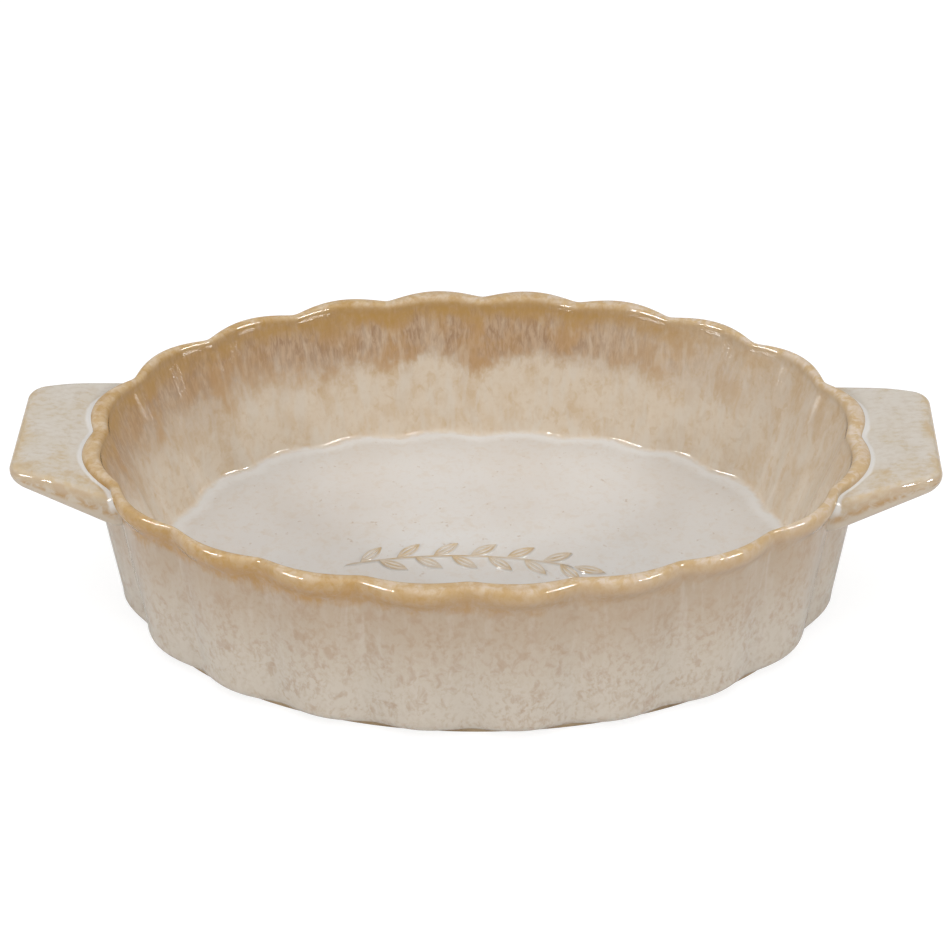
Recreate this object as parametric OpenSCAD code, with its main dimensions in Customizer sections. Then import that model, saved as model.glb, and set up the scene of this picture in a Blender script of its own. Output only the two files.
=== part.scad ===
// Oval fluted baking dish in glazed stoneware, with a tab handle at each end.
// It stands on a low foot ring, with the origin on the table under its middle.
// X runs along the length through both handles, and Y runs across the width.

/* [Rim] */
// Length of the rim between the notches at its two ends
rim_length = 275.7; // [240:0.1:340]
// Width of the rim between the notches at front and back
rim_width = 193.2; // [170:0.1:230]
// How far a flute swells out past the notches at the rim
rim_flute_depth = 4.1; // [2:0.1:7]
// Thickness of the rounded lip at a notch
lip_thickness = 5.8; // [5:0.1:9]
// How far a flute swells out past the notches on the inside of the lip
lip_flute_depth = 2.5; // [0.5:0.1:5]
// Height of the rounded lip above the wall, at the crest of a flute
lip_rise = 3.2; // [2.5:0.1:6]
// How much lower the lip is at a notch than at the crest of a flute
lip_dip = 0.7; // [0:0.1:2]
// How far a flute swells out past the notches on the wall under the rim
wall_flute_depth = 2.2; // [1.5:0.1:6]
// How far the lip stands out past the wall under it
lip_overhang = 2; // [0.4:0.1:4]
// Height over which the wall sweeps out to the lip
lip_sweep = 9; // [6:0.5:14]

/* [Body] */
// Height from the table to the top of the lip
dish_height = 67; // [55:0.5:85]
// Thickness of the floor above the foot ring
floor_thickness = 10.3; // [8:0.1:14]
// Number of flutes round the wall
flute_count = 20; // [12:4:28]
// How far the wall leans out from the foot to the rim, at the end notches
end_lean = 11.05; // [4:0.05:20]
// How far the wall leans out from the foot to the rim, at the front and back notches
side_lean = 5; // [2:0.1:16]
// How far a flute swells out past the notches above the foot
base_flute_depth = 3.7; // [0.5:0.1:5]
// Height of the rounded turn from the foot into the wall
bottom_turn = 5; // [3:0.5:7]

/* [Inside] */
// Thickness of the wall at the floor, at the end notches
end_thickness = 13.7; // [9:0.1:18]
// Thickness of the wall at the floor, at the front and back notches
side_thickness = 11; // [8:0.1:16]
// Depth of the flutes on the inside
inner_flute_depth = 2.7; // [1:0.1:4]
// Radius of the corner where the wall meets the floor
floor_corner = 1.5; // [1:0.5:6]

/* [Foot] */
// Height of the foot ring
foot_height = 2.2; // [1.5:0.1:5]
// Width of the foot ring
foot_width = 6; // [4:0.5:10]
// How far the foot ring is set in from the notches above it
foot_inset = 2.6; // [1:0.1:5]
// Chamfer on the lower edges of the foot ring
foot_chamfer = 0.8; // [0.3:0.1:1.5]

/* [Handles] */
// How far a handle reaches out past the end notch of the rim
handle_reach = 26.25; // [18:0.05:36]
// Width of a handle at its free end
handle_tip_width = 60; // [40:0.2:70]
// Width of a handle where it leaves the rim
handle_root_width = 75.7; // [50:0.1:90]
// Thickness of a handle at its free end
handle_tip_thickness = 5.4; // [4:0.1:8]
// Thickness of a handle at the wall
handle_root_thickness = 8.1; // [6:0.1:12]
// Radius of the corners of a handle, seen from above
handle_corner = 8; // [4:0.5:14]
// Rounding of the edges of a handle
handle_round = 2.2; // [1:0.1:2.7]
// Drop from the top of the lip to the top of a handle at the wall
handle_drop = 3.7; // [3:0.1:8]
// Rise of the handle top from the wall to its free end
handle_rise = 4.9; // [0:0.1:8]

/* [Sprig] */
// Length of the raised leaf sprig on the floor
sprig_length = 100; // [60:1:120]
// Height of the relief above the floor
sprig_relief = 1; // [0.5:0.1:2]
// Distance of the stem's crown from the middle of the floor, to the front
sprig_offset = 2; // [0:1:40]
// Length of one leaf
leaf_length = 13; // [8:0.5:16]
// Width of one leaf
leaf_width = 5.4; // [3:0.2:7]
// Width of the stem
stem_width = 1.6; // [1:0.1:2.5]
// Number of leaves along the stem, besides the one at its end
leaf_count = 12; // [6:1:14]

/* [Hidden] */

// Steps along one flute, and along one flute of the smooth foot
flute_steps = 12;
foot_steps = 6;
// Steps of the table that spaces the flutes evenly along an oval
arc_steps = 4;
// Exponents of the ovals, where 2 is a true ellipse
rim_power = 1.93;
inside_power = 2.11;
base_power = 2.02;
floor_power = 2.3;
// Exponent of the lip's rounded profile, where 2 is round and more is flatter on top
lip_power = 2.8;
// Roundness of a flute and softness of a notch, as shares of a flute
crest_power = 0.91;
notch_share = 0.2;
// Steps over the lip, round the inside corner and round the bottom turn
lip_steps = 8;
corner_steps = 3;
turn_steps = 3;
// Share of the lip's overhang that is reached half way up the sweep
sweep_share = 0.35;
// Bend radius of the stem as a share of the sprig, and the leaves' angle to the stem
bend_share = 1.4;
leaf_turn = 38;
// Facets of the handle's corners and of the edges along them
corner_facets = 32;
round_steps = 4;
// Facets of the arcs of the leaves and of the stem
leaf_facets = 96;
stem_facets = 360;

columns = flute_count * flute_steps;
foot_columns = flute_count * foot_steps;
base_length = rim_length - 2 * end_lean;
base_width = rim_width - 2 * side_lean;
floor_length = base_length - 2 * end_thickness;
floor_width = base_width - 2 * side_thickness;
floor_top = foot_height + floor_thickness;
lip_base = dish_height - lip_rise;
turn_top = foot_height + bottom_turn;
// A length that cuts and hidden ends run past a surface
overrun = lip_thickness;

// An oval is [half length, half width, flute depth, height, power, dip at a notch].
lip_outer = [rim_length / 2, rim_width / 2, rim_flute_depth, lip_base, rim_power, 0];
lip_inner = [
    rim_length / 2 - lip_thickness,
    rim_width / 2 - lip_thickness,
    lip_flute_depth,
    lip_base,
    inside_power,
    0
];
sweep_foot = [
    rim_length / 2 - lip_overhang,
    rim_width / 2 - lip_overhang,
    wall_flute_depth,
    lip_base - lip_sweep,
    rim_power,
    0
];
base_oval = [base_length / 2, base_width / 2, base_flute_depth, turn_top, base_power, 0];
foot_oval = [
    base_length / 2 - foot_inset,
    base_width / 2 - foot_inset,
    0,
    foot_height,
    base_power,
    0
];
floor_oval = [
    floor_length / 2,
    floor_width / 2,
    inner_flute_depth,
    floor_top,
    floor_power,
    0
];

// Where an oval lies between two others, by share
function between(a, b, share) = a + (b - a) * share;
// An oval with its height replaced, and one set in by a distance
function set_height(oval, z) = [oval[0], oval[1], oval[2], z, oval[4], oval[5]];
function set_in(oval, distance) = oval - [distance, distance, 0, 0, 0, 0];
// A row half way up the sweep, which curves out to the lip
sweep_flat = between(sweep_foot, lip_outer, sweep_share);
sweep_middle = set_height(sweep_flat, lip_base - lip_sweep / 2);
// The wall's outer oval at a height between the turn and the sweep
function wall_oval(z) = between(base_oval, sweep_foot,
    (z - base_oval[3]) / (sweep_foot[3] - base_oval[3]));

// A point of a plain oval at an angle, and its outward direction
function bent(v, power) = sign(v) * pow(abs(v), power);
function oval_point(oval, t) = [
    oval[0] * bent(cos(t), 2 / oval[4]),
    oval[1] * bent(sin(t), 2 / oval[4])
];
function unit(v) = v / norm(v);
function oval_normal(oval, p) = unit([
    bent(p[0] / oval[0], oval[4] - 1) / oval[0],
    bent(p[1] / oval[1], oval[4] - 1) / oval[1]
]);

// Angles that divide an oval into equal lengths
function arc_table(oval, count) = [
    for (
        i = 0, run = 0;
        i <= count;
        i = i + 1,
        run = run + norm(oval_point(oval, 360 * i / count)
            - oval_point(oval, 360 * (i - 1) / count))
    ) [run, 360 * i / count]
];
function even_angles(oval, n) =
    let (
        table = arc_table(oval, n * arc_steps),
        whole = table[n * arc_steps][0]
    )
    [for (i = [0 : n - 1]) lookup(whole * i / n, table)];

// Swell of a flute from 0 at a notch to 1 at its crest
function swell(turn) =
    let (
        s = abs(sin(180 * turn)),
        soft = (sqrt(s * s + notch_share * notch_share) - notch_share)
            / (sqrt(1 + notch_share * notch_share) - notch_share)
    )
    pow(soft, crest_power);

// One closed row of points round an oval, with its flutes
function ring(oval, n) =
    let (angles = even_angles(oval, n))
    [
        for (i = [0 : n - 1])
            let (
                p = oval_point(oval, angles[i]),
                out = oval_normal(oval, p),
                full = swell(flute_count * i / n),
                q = p + out * oval[2] * full
            )
            [q[0], q[1], oval[3] - oval[5] * (1 - full)]
    ];

// Triangles of the band between two rows
function band(low, high, n) = [
    for (i = [0 : n - 1])
        let (
            a = low * n + i,
            b = low * n + (i + 1) % n,
            c = high * n + (i + 1) % n,
            d = high * n + i
        )
        each [[a, c, b], [a, d, c]]
];

// A closed loop of rows, such as a wall or a ring
module loop_solid(ovals, n) {
    rows = len(ovals);
    points = [for (oval = ovals) each ring(oval, n)];
    faces = [for (k = [0 : rows - 1]) each band(k, (k + 1) % rows, n)];
    polyhedron(points = points, faces = faces);
}

// A stack of rows that is closed by flat faces below and above
module stack_solid(ovals, n) {
    rows = len(ovals);
    points = [for (oval = ovals) each ring(oval, n)];
    sides = [for (k = [0 : rows - 2]) each band(k, k + 1, n)];
    under = [for (i = [0 : n - 1]) i];
    above = [for (i = [n - 1 : -1 : 0]) (rows - 1) * n + i];
    polyhedron(points = points, faces = concat(sides, [under, above]));
}

// Rows over the lip from its outer edge to its inner edge
function lip_ovals(steps) = [
    for (k = [0 : steps])
        let (
            turn = 180 * k / steps,
            share = (1 - bent(cos(turn), 2 / lip_power)) / 2,
            lift = bent(sin(turn), 2 / lip_power),
            flat = between(lip_outer, lip_inner, share)
        )
        set_height(flat, lip_base + lip_rise * lift) + [0, 0, 0, 0, 0, lip_dip * lift]
];

// Rows up the outside of the wall
outer_ovals = [wall_oval(floor_top), sweep_foot, sweep_middle, lip_outer];

// Rows down the inside of the wall and round its corner to the floor
function inner_wall(z) = between(floor_oval, lip_inner,
    (z - floor_top) / (lip_base - floor_top));
inner_ovals = [
    lip_inner,
    for (k = [0 : corner_steps])
        let (
            turn = 90 * k / corner_steps,
            rise = floor_corner * (1 - sin(turn)),
            inset = floor_corner * (1 - cos(turn))
        )
        set_in(inner_wall(floor_top + rise), inset)
];

// Rows round the bottom turn, from the foot up to the wall
turn_ovals = [
    for (k = [0 : turn_steps])
        let (
            turn = 90 * k / turn_steps,
            flat = between(foot_oval, base_oval, sin(turn))
        )
        set_height(flat, turn_top - bottom_turn * cos(turn))
];

module foot_ring() {
    inner = set_in(foot_oval, foot_width);
    color("peru") loop_solid([
        set_height(foot_oval, foot_chamfer),
        foot_oval,
        inner,
        set_height(inner, foot_chamfer),
        set_height(set_in(inner, -foot_chamfer), 0),
        set_height(set_in(foot_oval, foot_chamfer), 0)
    ], foot_columns);
}

module dish_floor() {
    color("gainsboro") stack_solid(concat(turn_ovals, [wall_oval(floor_top)]), columns);
}

module fluted_wall() {
    color("wheat") loop_solid(concat(outer_ovals, inner_ovals), columns);
}

module rim_lip() {
    color("goldenrod") loop_solid(lip_ovals(lip_steps), columns);
}

// The end of the body that a handle is luted to, as a wedge to the middle
module handle_seat() {
    rows = concat(outer_ovals, [for (k = [1 : lip_steps / 2]) lip_ovals(lip_steps)[k]]);
    reach = 2 * flute_steps;
    span = 2 * reach + 1;
    count = len(rows);
    points = [
        for (oval = rows)
            let (row = ring(oval, columns))
            for (i = [-reach : reach]) row[(i + columns) % columns],
        [0, 0, rows[0][3]],
        [0, 0, rows[count - 1][3]]
    ];
    foot_middle = count * span;
    top_middle = foot_middle + 1;
    sides = [
        for (k = [0 : count - 2])
            for (i = [0 : span - 2])
                let (a = k * span + i, b = a + 1, d = a + span, c = d + 1)
                each [[a, c, b], [a, d, c]]
    ];
    under = [for (i = [0 : span - 2]) [i, i + 1, foot_middle]];
    above = [
        for (i = [0 : span - 2])
            let (a = (count - 1) * span + i)
            [a + 1, a, top_middle]
    ];
    near = [foot_middle, for (k = [0 : count - 1]) k * span, top_middle];
    far = [top_middle, for (k = [count - 1 : -1 : 0]) k * span + span - 1, foot_middle];
    polyhedron(
        points = points,
        faces = concat(sides, under, above, [[for (i = [len(near) - 1 : -1 : 0]) near[i]]],
            [[for (i = [len(far) - 1 : -1 : 0]) far[i]]])
    );
}

// A round pad with rounded edges, whose top face is at zero
module pad(radius, thickness) {
    turns = [for (k = [0 : round_steps]) 90 * k / round_steps];
    function inset(turn) = handle_round * (1 - sin(turn));
    rotate_extrude($fn = corner_facets) polygon([
        [0, 0],
        [0, -thickness],
        for (turn = turns) [radius - inset(turn), inset(90 - turn) - thickness],
        for (turn = turns) [radius - inset(90 - turn), -inset(turn)]
    ]);
}

// The tab before its root is cut to the wall
module handle_tab() {
    root_x = rim_length / 2;
    tip_x = root_x + handle_reach;
    inside_x = root_x - overrun - handle_corner;
    run = handle_reach;
    function half_width(x) = between(handle_root_width, handle_tip_width,
        (x - root_x) / run) / 2;
    function top_height(x) = dish_height - handle_drop + handle_rise * (x - root_x) / run;
    function thickness(x) = between(handle_root_thickness, handle_tip_thickness,
        (x - root_x) / run);
    tip_middle = tip_x - handle_corner;
    hull()
        for (x = [inside_x, tip_middle])
            for (side = [-1, 1])
                translate([x, side * (half_width(x + handle_corner) - handle_corner), top_height(x)])
                    pad(handle_corner, thickness(x));
}

module handle() {
    color("antiquewhite") difference() {
        handle_tab();
        handle_seat();
    }
}

module right_handle() {
    handle();
}

module left_handle() {
    mirror([1, 0, 0]) handle();
}

// A leaf, pointed at both ends, that lies along X from the origin
module leaf() {
    half = leaf_length / 2;
    bow = leaf_width / 2;
    radius = (half * half + bow * bow) / (2 * bow);
    intersection() {
        translate([half, bow - radius]) circle(r = radius, $fn = leaf_facets);
        translate([half, radius - bow]) circle(r = radius, $fn = leaf_facets);
    }
}

// A stem along a shallow arc, with leaves on both sides and one at its end
module floor_sprig() {
    radius = sprig_length * bend_share;
    stem_length = sprig_length - leaf_length;
    sweep = 180 * stem_length / (PI * radius);
    start = 90 + sweep / 2;
    end = start - sweep;
    color("tan") translate([-leaf_length / 2, -sprig_offset - radius, floor_top])
        linear_extrude(height = sprig_relief) {
            intersection() {
                difference() {
                    circle(r = radius + stem_width / 2, $fn = stem_facets);
                    circle(r = radius - stem_width / 2, $fn = stem_facets);
                }
                polygon([
                    [0, 0],
                    2 * radius * [cos(start), sin(start)],
                    2 * radius * [cos(end), sin(end)]
                ]);
            }
            for (i = [1 : leaf_count])
                let (side = i % 2 * 2 - 1)
                rotate(start - sweep * i / (leaf_count + 1))
                    translate([radius, 0])
                        rotate(side * leaf_turn - 90) leaf();
            rotate(end) translate([radius, stem_width]) rotate(-90) leaf();
        }
}

foot_ring();
dish_floor();
fluted_wall();
rim_lip();
left_handle();
right_handle();
floor_sprig();
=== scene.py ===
"""The oval fluted baking dish, dressed for the camera.

The sections follow the dish as a potter builds it: foot, floor, wall, lip, handles, relief.
After them come the table it stands on, the lamps and the camera. All lengths are in metres.
"""

import math

import bpy
import numpy as np
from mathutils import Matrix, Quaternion, Vector, noise


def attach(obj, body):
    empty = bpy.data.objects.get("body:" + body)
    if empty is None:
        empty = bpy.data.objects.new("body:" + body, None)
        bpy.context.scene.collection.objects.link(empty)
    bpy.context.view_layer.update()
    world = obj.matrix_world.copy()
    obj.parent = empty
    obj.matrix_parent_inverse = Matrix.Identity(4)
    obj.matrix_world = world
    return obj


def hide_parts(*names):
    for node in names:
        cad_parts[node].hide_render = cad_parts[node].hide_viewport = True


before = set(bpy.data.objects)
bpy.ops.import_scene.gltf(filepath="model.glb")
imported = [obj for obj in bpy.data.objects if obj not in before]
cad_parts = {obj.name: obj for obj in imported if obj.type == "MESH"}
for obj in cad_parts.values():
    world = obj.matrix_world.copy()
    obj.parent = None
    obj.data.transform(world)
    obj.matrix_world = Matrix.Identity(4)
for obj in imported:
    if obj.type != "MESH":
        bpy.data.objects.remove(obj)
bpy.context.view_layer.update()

# The foot is a low ring of bare stoneware, thrown with the floor and wiped clean of glaze
# before firing. It fires brown and matt, and it is smooth where the wall above is fluted.
FLUTES = 20
FLUTE_COLUMNS = 36
COLUMNS = FLUTES * FLUTE_COLUMNS
NOTCH_SHARE = 0.2
CREST_POWER = 0.91
BASE_LENGTH, BASE_WIDTH, BASE_POWER = 0.2536, 0.1832, 2.02
FOOT_HEIGHT, FOOT_WIDTH, FOOT_INSET = 0.0022, 0.006, 0.0026
FOOT_EDGE = 0.0008
FOOT_EDGE_STEPS = 4
FOOT_CREASE = math.radians(40)
POINTS_PER_COLUMN = 4


class Oval:
    """A row of points round the dish, on a superellipse that its flutes swell out of.

    Its dip is how much lower the row runs in a notch than on the crest of a flute. Its sizes
    are half its length, half its width, then its flute, height, power and dip.
    """

    HEIGHT_PLACE, DIP_PLACE = 3, 5

    def __init__(self, length, width, flute, height, power, dip=0.0):
        self.sizes = np.array([length / 2, width / 2, flute, height, power, dip])

    @classmethod
    def from_sizes(cls, sizes):
        return cls(sizes[0] * 2, sizes[1] * 2, *sizes[2:])

    def towards(self, other, share):
        return Oval.from_sizes(self.sizes + (other.sizes - self.sizes) * share)

    def inset(self, distance):
        return Oval.from_sizes(self.sizes - np.array([distance, distance, 0, 0, 0, 0]))

    def at(self, height, dip=0.0):
        sizes = self.sizes.copy()
        sizes[self.HEIGHT_PLACE], sizes[self.DIP_PLACE] = height, dip
        return Oval.from_sizes(sizes)

    def outline(self, angles):
        half_length, half_width, _, _, power, _ = self.sizes
        c, s = np.cos(angles), np.sin(angles)
        return np.column_stack([
            half_length * np.sign(c) * np.abs(c) ** (2 / power),
            half_width * np.sign(s) * np.abs(s) ** (2 / power),
        ])

    def points(self):
        """The row's points, spaced evenly along it, one for each column of the dish."""
        half_length, half_width, flute, height, power, dip = self.sizes
        fine = np.linspace(0, 2 * math.pi, COLUMNS * POINTS_PER_COLUMN + 1)
        path = self.outline(fine)
        run = np.concatenate([[0], np.cumsum(np.linalg.norm(np.diff(path, axis=0), axis=1))])
        places = np.interp(np.arange(COLUMNS) / COLUMNS * run[-1], run, fine)
        row = self.outline(places)
        slope = np.sign(row) * np.abs(row / [half_length, half_width]) ** (power - 1)
        slope /= [half_length, half_width]
        slope /= np.linalg.norm(slope, axis=1)[:, None]
        row = row + slope * (flute * column_swell())[:, None]
        return np.column_stack([row, height - dip * (1 - column_swell())])


def column_swell():
    """How full each column of the dish is, from 0 in a notch to 1 on the crest of a flute."""
    s = np.abs(np.sin(math.pi * np.arange(COLUMNS) / FLUTE_COLUMNS))
    soft = np.sqrt(s * s + NOTCH_SHARE ** 2) - NOTCH_SHARE
    return (soft / (math.sqrt(1 + NOTCH_SHARE ** 2) - NOTCH_SHARE)) ** CREST_POWER


def only(piece):
    """Selects one piece and nothing else."""
    for other in bpy.context.selected_objects:
        other.select_set(False)
    piece.select_set(True)
    bpy.context.view_layer.objects.active = piece


def add_globe(name, rings):
    """A sphere to press into rows: its rings become rows and its meridians columns."""
    bpy.ops.object.select_all(action="DESELECT")
    bpy.ops.mesh.primitive_uv_sphere_add(segments=COLUMNS, ring_count=rings, radius=1)
    globe = bpy.context.object
    globe.name = name
    return globe


def press(globe, rings, first, rows):
    """Moves every vertex of a globe to the place of its row and column."""
    flat = np.empty(len(globe.data.vertices) * 3)
    globe.data.vertices.foreach_get("co", flat)
    own = flat.reshape(-1, 3)
    around = np.arctan2(own[:, 1], own[:, 0]) / (2 * math.pi)
    column = np.rint(around * COLUMNS).astype(int) % COLUMNS
    climb = np.arcsin(np.clip(own[:, 2], -1, 1)) / math.pi + 0.5
    row = np.rint(climb * rings).astype(int) - first
    globe.data.vertices.foreach_set("co", np.array(rows)[row, column].ravel())
    globe.data.update()
    return globe, row, column


def press_ring(name, rows):
    """A closed ring of rows: a globe, opened at its poles and bridged through the middle."""
    rings = len(rows) + 1
    globe = add_globe(name, rings)
    bpy.ops.object.mode_set(mode="EDIT")
    bpy.ops.mesh.select_all(action="DESELECT")
    bpy.ops.mesh.select_mode(type="VERT")
    bpy.ops.object.mode_set(mode="OBJECT")
    for vertex in globe.data.vertices:
        vertex.select = abs(vertex.co.z) > 0.999999
    bpy.ops.object.mode_set(mode="EDIT")
    bpy.ops.mesh.delete(type="VERT")
    bpy.ops.mesh.select_non_manifold()
    bpy.ops.mesh.bridge_edge_loops()
    bpy.ops.mesh.select_all(action="SELECT")
    bpy.ops.mesh.normals_make_consistent(inside=False)
    bpy.ops.object.mode_set(mode="OBJECT")
    return press(globe, rings, 1, rows)


def keep_numbers(piece, name, values):
    """Stores one number per vertex, which the glaze on the piece reads."""
    layer = piece.data.attributes.new(name, "FLOAT", "POINT")
    layer.data.foreach_set("value", np.asarray(values, dtype=np.float32))


def srgb(red, green, blue):
    """A colour as the eye reads it on screen, 0 to 255, made ready for a shader."""
    def linear(v):
        v /= 255
        return v / 12.92 if v <= 0.04045 else ((v + 0.055) / 1.055) ** 2.4
    return (linear(red), linear(green), linear(blue), 1)


class Signal:
    """A number or colour inside a finish. Sums on it add Math nodes."""

    def __init__(self, finish, socket):
        self.finish, self.socket = finish, socket

    def math(self, operation, *values):
        return self.finish.node(
            "ShaderNodeMath", {"operation": operation}, dict(enumerate(values)))

    def __add__(self, other):
        return self.math("ADD", self, other)

    def __radd__(self, other):
        return self.math("ADD", other, self)

    def __sub__(self, other):
        return self.math("SUBTRACT", self, other)

    def __rsub__(self, other):
        return self.math("SUBTRACT", other, self)

    def __mul__(self, other):
        return self.math("MULTIPLY", self, other)

    def __rmul__(self, other):
        return self.math("MULTIPLY", other, self)

    def __truediv__(self, other):
        return self.math("DIVIDE", self, other)

    def size(self):
        return self.math("ABSOLUTE", self)

    def rise(self, low, high):
        """0 below low and 1 above high, with a soft step between, or falling if low > high."""
        return self.finish.node(
            "ShaderNodeMapRange", {"interpolation_type": "SMOOTHSTEP"},
            {0: self, 1: low, 2: high, 3: 0.0, 4: 1.0})


class Finish:
    """A procedural surface for one piece, with its Principled shader as surface."""

    def __init__(self, name):
        self.material = bpy.data.materials.new(name)
        self.material.use_nodes = True
        self.tree = self.material.node_tree
        self.surface = self.tree.nodes["Principled BSDF"]
        self.place = self.node("ShaderNodeTexCoord", {}, {}, "Object")

    def node(self, kind, settings, values, output=0):
        made = self.tree.nodes.new(kind)
        for name, value in settings.items():
            setattr(made, name, value)
        for name, value in values.items():
            self.feed(made.inputs[name], value)
        return Signal(self, made.outputs[output])

    def feed(self, socket, value):
        if isinstance(value, Signal):
            self.tree.links.new(value.socket, socket)
        else:
            socket.default_value = value

    def number(self, name):
        return self.node("ShaderNodeAttribute", {"attribute_name": name}, {}, "Fac")

    def stretched(self, x, y, z, shift=0.0):
        return self.node("ShaderNodeMapping", {}, {
            "Vector": self.place, "Scale": (x, y, z), "Location": (shift, shift, shift)})

    def cloud(self, size, stretch=(1, 1, 1), detail=2.0, rough=0.5, shift=0.0, curl=0.0):
        """Soft noise from 0 to 1 whose blobs are about size across, and bent by curl."""
        return self.node(
            "ShaderNodeTexNoise", {"noise_dimensions": "3D"},
            {"Vector": self.stretched(*stretch, shift=shift), "Scale": 0.6 / size,
             "Detail": detail, "Roughness": rough, "Distortion": curl})

    def mix(self, share, under, over):
        return self.node(
            "ShaderNodeMix", {"data_type": "RGBA"}, {0: share, 6: under, 7: over}, 2)

    def wear(self, colour, roughness, bump, depth):
        self.feed(self.surface.inputs["Base Color"], colour)
        self.feed(self.surface.inputs["Roughness"], roughness)
        normal = self.node(
            "ShaderNodeBump", {}, {"Strength": 1.0, "Distance": depth, "Height": bump})
        self.feed(self.surface.inputs["Normal"], normal)


def dress(piece, finish):
    """Gives a piece its finish, as its only material."""
    piece.data.materials.clear()
    piece.data.materials.append(finish.material)


base = Oval(BASE_LENGTH, BASE_WIDTH, 0, FOOT_HEIGHT, BASE_POWER)
foot_outer = base.inset(FOOT_INSET)
foot_inner = foot_outer.inset(FOOT_WIDTH)
foot_rows = [foot_outer.at(FOOT_EDGE), foot_outer.at(FOOT_HEIGHT), foot_inner.at(FOOT_HEIGHT),
             foot_inner.at(FOOT_EDGE)]
for step in range(1, FOOT_EDGE_STEPS + 1):
    turn = math.pi / 2 * step / FOOT_EDGE_STEPS
    foot_rows.append(foot_inner.inset(-FOOT_EDGE * (1 - math.cos(turn)))
                     .at(FOOT_EDGE * (1 - math.sin(turn))))
for step in range(FOOT_EDGE_STEPS, 0, -1):
    turn = math.pi / 2 * step / FOOT_EDGE_STEPS
    foot_rows.append(foot_outer.inset(FOOT_EDGE * (1 - math.cos(turn)))
                     .at(FOOT_EDGE * (1 - math.sin(turn))))
foot, _, _ = press_ring("foot_of_bare_clay", [oval.points() for oval in foot_rows])
only(foot)
bpy.ops.object.shade_smooth_by_angle(angle=FOOT_CREASE)

raw_clay = Finish("raw_stoneware")
clay_grain = raw_clay.cloud(0.0006, detail=4.0)
clay_patch = raw_clay.cloud(0.012, detail=3.0, shift=3.0)
clay_tone = raw_clay.mix(clay_patch.rise(0.35, 0.7), srgb(168, 146, 114), srgb(140, 116, 84))
clay_tone = raw_clay.mix(clay_grain.rise(0.5, 0.75) * 0.5, clay_tone, srgb(186, 166, 134))
raw_clay.wear(clay_tone, 0.75, clay_grain, 0.0002)
dress(foot, raw_clay)
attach(foot, "root")
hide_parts("foot_ring")

# The skin of the glazed body: one run of rows from under the foot, up the fluted outside,
# over the rounded lip and down the inside to the flat floor. Floor, wall and lip are cut
# from it, so that they meet without a step, as they do in the one fired piece.
RIM_LENGTH, RIM_WIDTH, RIM_FLUTE, RIM_POWER = 0.2757, 0.1932, 0.0041, 1.93
LIP_THICKNESS, LIP_FLUTE, LIP_RISE, LIP_DIP = 0.0058, 0.0025, 0.0032, 0.0007
INSIDE_POWER, LIP_POWER = 2.11, 2.8
WALL_FLUTE, LIP_OVERHANG, LIP_SWEEP = 0.0022, 0.002, 0.009
BASE_FLUTE, BOTTOM_TURN = 0.0037, 0.005
DISH_HEIGHT, INSIDE_DEPTH = 0.067, 0.0545
FLOOR_LENGTH, FLOOR_WIDTH, FLOOR_POWER, FLOOR_CORNER = 0.2262, 0.1612, 2.3, 0.0015
INNER_FLUTE = 0.0027
HAND_SLIP = 0.0003
HAND_WAVE = 0.045
TURN_STEPS, LOW_STEPS, WALL_STEPS, SWEEP_STEPS, LIP_STEPS, INSIDE_STEPS, CORNER_STEPS = (
    8, 3, 20, 8, 32, 24, 8)
LIP_FINE_STEPS = 2000
LIP_BASE = DISH_HEIGHT - LIP_RISE
FLOOR_TOP = DISH_HEIGHT - INSIDE_DEPTH
TURN_TOP = FOOT_HEIGHT + BOTTOM_TURN

lip_outer = Oval(RIM_LENGTH, RIM_WIDTH, RIM_FLUTE, LIP_BASE, RIM_POWER)
lip_inner = Oval(RIM_LENGTH - 2 * LIP_THICKNESS, RIM_WIDTH - 2 * LIP_THICKNESS, LIP_FLUTE,
                 LIP_BASE, INSIDE_POWER)
sweep_foot = Oval(RIM_LENGTH - 2 * LIP_OVERHANG, RIM_WIDTH - 2 * LIP_OVERHANG, WALL_FLUTE,
                  LIP_BASE - LIP_SWEEP, RIM_POWER)
base_oval = Oval(BASE_LENGTH, BASE_WIDTH, BASE_FLUTE, TURN_TOP, BASE_POWER)
floor_oval = Oval(FLOOR_LENGTH, FLOOR_WIDTH, INNER_FLUTE, FLOOR_TOP, FLOOR_POWER)


def outer_wall(height):
    """The wall's outside between the bottom turn and the sweep out to the lip."""
    span = LIP_BASE - LIP_SWEEP - TURN_TOP
    return base_oval.towards(sweep_foot, (height - TURN_TOP) / span).at(height)


def inner_wall(height):
    """The wall's inside between the floor and the lip."""
    return floor_oval.towards(lip_inner, (height - FLOOR_TOP) / (LIP_BASE - FLOOR_TOP)).at(height)


def lip_profile(turn):
    """How far across and up the rounded lip a turn from its outer edge to its inner one is."""
    across = np.sign(np.cos(turn)) * np.abs(np.cos(turn)) ** (2 / LIP_POWER)
    return (1 - across) / 2, np.abs(np.sin(turn)) ** (2 / LIP_POWER)


def over_lip(count):
    """Rows over the lip, evenly spaced along its rounded profile."""
    fine = np.linspace(0, math.pi, LIP_FINE_STEPS + 1)
    share, lift = lip_profile(fine)
    steps = np.hypot(np.diff(share) * LIP_THICKNESS, np.diff(lift) * LIP_RISE)
    gone = np.concatenate([[0], np.cumsum(steps)])
    turns = np.interp(np.linspace(0, gone[-1], count + 1)[1:], gone, fine)
    return [lip_outer.towards(lip_inner, share)
            .at(LIP_BASE + LIP_RISE * lift, LIP_DIP * lift)
            for share, lift in zip(*lip_profile(turns))]


def spread(low, high, count):
    """Evenly spaced numbers after low, up to and with high."""
    return [low + (high - low) * k / count for k in range(1, count + 1)]


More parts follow.
